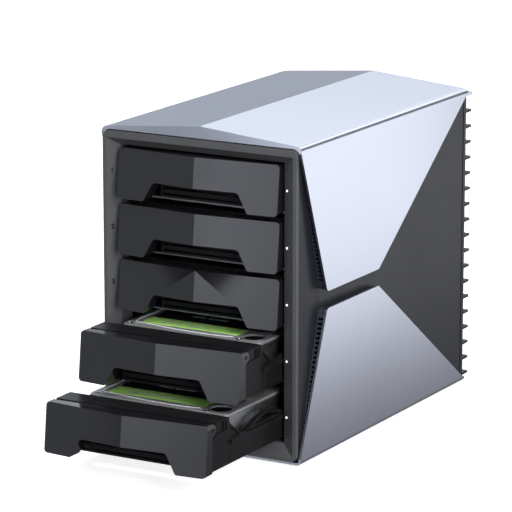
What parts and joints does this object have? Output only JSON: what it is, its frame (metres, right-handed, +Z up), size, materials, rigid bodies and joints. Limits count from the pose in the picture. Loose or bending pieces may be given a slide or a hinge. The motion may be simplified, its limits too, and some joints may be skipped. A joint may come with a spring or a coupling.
{
  "type": "hard drive enclosure",
  "caption": "Desktop hard-drive tower: folded aluminium shell, funnel bezel, pull-out drive trays with hinged lever doors, rear fan behind horizontal fins.",
  "frame": {"origin": "centre of the footprint, on the surface the feet stand on, with the trays at their rest positions", "axes": "+Z up, -Y out of the front where the trays come out, +X to the right seen from the front"},
  "size_m": [0.144, 0.335, 0.2098],
  "materials": {
    "silver_shell": "fine bead-blasted anodised aluminium",
    "dark_panel": "satin black painted steel",
    "vent_black": "matte black moulded plastic",
    "bezel_grey": "fine-textured dark grey plastic",
    "gloss_black": "polished black plastic",
    "tray_black": "satin black moulded plastic",
    "light_white": "clear acrylic light pipe, lit white",
    "circuit_green": "green solder mask",
    "sheet_steel": "zinc-plated steel sheet",
    "screw_steel": "plated steel",
    "drive_casting": "cast aluminium",
    "drive_lid": "stamped stainless steel",
    "connector_black": "black connector plastic",
    "heat_sink": "extruded aluminium",
    "fan_black": "black fan plastic",
    "guard_wire": "bright plated steel",
    "port_metal": "nickel-plated steel",
    "foot_rubber": "black rubber",
    "button_metal": "satin aluminium"
  },
  "bodies": {
    "case": {"top_shell": "silver_shell", "bottom_shell": "silver_shell", "side_panel_left": "dark_panel", "side_panel_right": "dark_panel", "vent_frames_left": "vent_black", "vent_frames_right": "vent_black", "front_bezel": "bezel_grey", "light_pipes": "light_white", "light_board": "circuit_green", "cage_left": "sheet_steel", "cage_right": "sheet_steel", "cage_crossbars": "sheet_steel", "guide_rails_left": "tray_black", "guide_rails_right": "tray_black", "cage_screws": "screw_steel", "backplane_board": "circuit_green", "drive_sockets": "connector_black", "backplane_screws": "screw_steel", "control_board": "circuit_green", "chip_heat_sink": "heat_sink", "rear_panel": "dark_panel", "rear_fins": "dark_panel", "fan_frame": "fan_black", "fan_screws": "screw_steel", "fan_guard": "guard_wire", "usb_c_port": "port_metal", "dc_jack": "connector_black", "power_switch": "connector_black", "rubber_feet": "foot_rubber", "shell_screws": "screw_steel"},
    "tray_1": {"tray_1": "tray_black", "door_pins_1": "tray_black", "drive_1": "drive_casting", "drive_cover_1": "drive_lid"},
    "door_1": {"door_1": "gloss_black"},
    "tray_2": {"tray_2": "tray_black", "door_pins_2": "tray_black", "drive_2": "drive_casting", "drive_cover_2": "drive_lid"},
    "door_2": {"door_2": "gloss_black"},
    "tray_3": {"tray_3": "tray_black", "door_pins_3": "tray_black", "drive_3": "drive_casting", "drive_cover_3": "drive_lid"},
    "door_3": {"door_3": "gloss_black"},
    "tray_4": {"tray_4": "tray_black", "door_pins_4": "tray_black", "drive_4": "drive_casting", "drive_cover_4": "drive_lid"},
    "door_4": {"door_4": "gloss_black"},
    "tray_5": {"tray_5": "tray_black", "door_pins_5": "tray_black", "drive_5": "drive_casting", "drive_cover_5": "drive_lid"},
    "door_5": {"door_5": "gloss_black"},
    "fan_rotor": {"fan_rotor": "fan_black"},
    "power_button": {"power_button": "button_metal"}
  },
  "joints": [
    {"name": "tray_1_slide", "type": "slide", "parent": "case", "child": "tray_1", "axis": [0, -1, 0], "range_m": [0, 0.14]},
    {"name": "door_1_hinge", "type": "hinge", "parent": "tray_1", "child": "door_1", "pos_m": [0, -0.06785, 0.1875], "axis": [-1, 0, 0], "range_deg": [0, 18]},
    {"name": "tray_2_slide", "type": "slide", "parent": "case", "child": "tray_2", "axis": [0, -1, 0], "range_m": [0, 0.14]},
    {"name": "door_2_hinge", "type": "hinge", "parent": "tray_2", "child": "door_2", "pos_m": [0, -0.06785, 0.1515], "axis": [-1, 0, 0], "range_deg": [0, 18]},
    {"name": "tray_3_slide", "type": "slide", "parent": "case", "child": "tray_3", "axis": [0, -1, 0], "range_m": [0, 0.14]},
    {"name": "door_3_hinge", "type": "hinge", "parent": "tray_3", "child": "door_3", "pos_m": [0, -0.06785, 0.1155], "axis": [-1, 0, 0], "range_deg": [0, 18]},
    {"name": "tray_4_slide", "type": "slide", "parent": "case", "child": "tray_4", "axis": [0, -1, 0], "range_m": [-0.047, 0.093]},
    {"name": "door_4_hinge", "type": "hinge", "parent": "tray_4", "child": "door_4", "pos_m": [0, -0.11485, 0.0795], "axis": [-1, 0, 0], "range_deg": [0, 18]},
    {"name": "tray_5_slide", "type": "slide", "parent": "case", "child": "tray_5", "axis": [0, -1, 0], "range_m": [-0.087, 0.053]},
    {"name": "door_5_hinge", "type": "hinge", "parent": "tray_5", "child": "door_5", "pos_m": [0, -0.15485, 0.0435], "axis": [-1, 0, 0], "range_deg": [0, 18]},
    {"name": "fan_spin", "type": "hinge", "parent": "case", "child": "fan_rotor", "pos_m": [0, 0.14355, 0.1112], "axis": [0, 1, 0], "continuous": true},
    {"name": "power_button_press", "type": "slide", "parent": "case", "child": "power_button", "axis": [0, -1, 0], "range_m": [0, 0.0015], "stiffness_N_per_m": 800}
  ]
}
